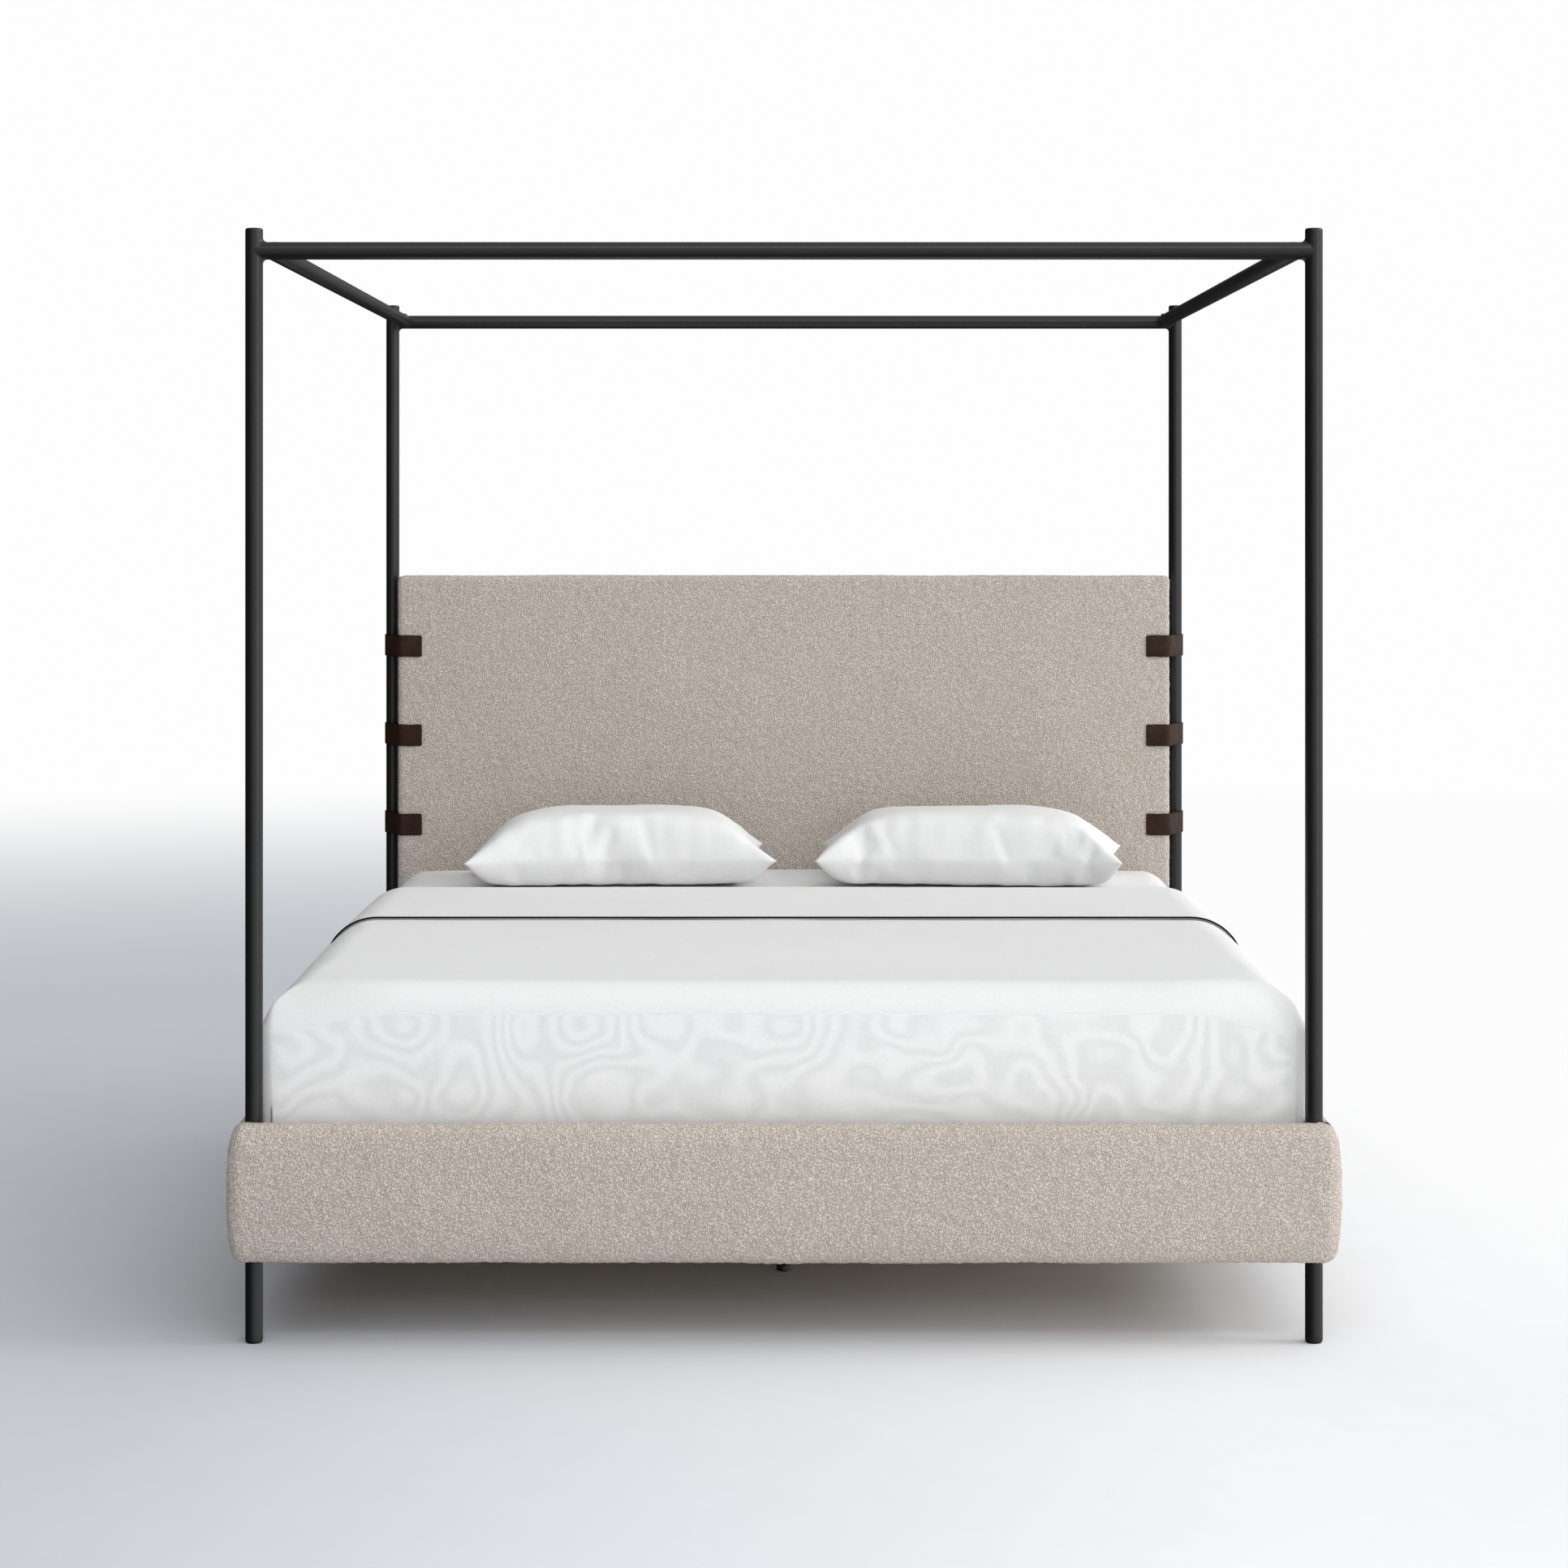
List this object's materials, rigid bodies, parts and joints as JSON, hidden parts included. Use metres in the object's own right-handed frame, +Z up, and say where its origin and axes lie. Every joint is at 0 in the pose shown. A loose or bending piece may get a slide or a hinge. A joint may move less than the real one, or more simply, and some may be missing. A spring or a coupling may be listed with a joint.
{
  "type": "four poster canopy bed",
  "caption": "King-size four poster canopy bed: black tube frame, boucle headboard on leather straps, boucle rails, slatted base, mattress with coverlet and pillows.",
  "frame": {"origin": "middle of the bed's outline at floor level", "axes": "+Z up, +Y from the foot towards the headboard, +X to the right seen from the foot"},
  "size_m": [2.072, 2.2517, 2.08],
  "materials": {
    "black_powder_coat": "satin",
    "black_plastic": "satin",
    "dark_zinc": "satin",
    "boucle": "matte",
    "plywood": "matte",
    "pine": "matte",
    "brown_leather": "satin",
    "white_cotton": "matte",
    "mattress_ticking": "matte"
  },
  "bodies": {
    "bed_frame": {"canopy_bolt_front_left": "dark_zinc", "canopy_bolt_front_right": "dark_zinc", "canopy_bolt_rear_left": "dark_zinc", "canopy_bolt_rear_right": "dark_zinc", "canopy_rail_front": "black_powder_coat", "canopy_rail_left": "black_powder_coat", "canopy_rail_rear": "black_powder_coat", "canopy_rail_right": "black_powder_coat", "canopy_spigot_front_left": "black_powder_coat", "canopy_spigot_front_right": "black_powder_coat", "canopy_spigot_rear_left": "black_powder_coat", "canopy_spigot_rear_right": "black_powder_coat", "centre_beam": "black_powder_coat", "centre_leg_front": "black_powder_coat", "centre_leg_rear": "black_powder_coat", "foot_glide_front_left": "black_plastic", "foot_glide_front_right": "black_plastic", "foot_glide_rear_left": "black_plastic", "foot_glide_rear_right": "black_plastic", "foot_rail_board": "plywood", "foot_rail_upholstery": "boucle", "headboard_core": "plywood", "headboard_upholstery": "boucle", "post_cap_front_left": "black_powder_coat", "post_cap_front_right": "black_powder_coat", "post_cap_rear_left": "black_powder_coat", "post_cap_rear_right": "black_powder_coat", "post_front_left": "black_powder_coat", "post_front_right": "black_powder_coat", "post_rear_left": "black_powder_coat", "post_rear_right": "black_powder_coat", "rail_bracket_front_left": "dark_zinc", "rail_bracket_front_right": "dark_zinc", "rail_bracket_rear_left": "dark_zinc", "rail_bracket_rear_right": "dark_zinc", "rear_cross_tube": "black_powder_coat", "side_rail_left_board": "plywood", "side_rail_left_upholstery": "boucle", "side_rail_right_board": "plywood", "side_rail_right_upholstery": "boucle", "slat_ledger_left": "pine", "slat_ledger_right": "pine", "slat_roll": "pine", "strap_left_lower": "brown_leather", "strap_left_middle": "brown_leather", "strap_left_upper": "brown_leather", "strap_right_lower": "brown_leather", "strap_right_middle": "brown_leather", "strap_right_upper": "brown_leather"},
    "mattress_set": {"mattress": "mattress_ticking", "coverlet": "white_cotton", "top_sheet_fold": "white_cotton"},
    "pillow_left": {"pillow_left": "white_cotton"},
    "pillow_right": {"pillow_right": "white_cotton"},
    "leveller_front": {"leveller_front": "black_plastic"},
    "leveller_rear": {"leveller_rear": "black_plastic"}
  },
  "joints": [
    {"name": "mattress_lift", "type": "slide", "parent": "bed_frame", "child": "mattress_set", "axis": [0, 0, 1], "range_m": [0, 0.35]},
    {"name": "pillow_left_lift", "type": "slide", "parent": "mattress_set", "child": "pillow_left", "axis": [0, 0, 1], "range_m": [0, 0.3]},
    {"name": "pillow_right_lift", "type": "slide", "parent": "mattress_set", "child": "pillow_right", "axis": [0, 0, 1], "range_m": [0, 0.3]},
    {"name": "leveller_front_screw", "type": "slide", "parent": "bed_frame", "child": "leveller_front", "axis": [0, 0, -1], "range_m": [0, 0.012]},
    {"name": "leveller_rear_screw", "type": "slide", "parent": "bed_frame", "child": "leveller_rear", "axis": [0, 0, -1], "range_m": [0, 0.012]}
  ]
}
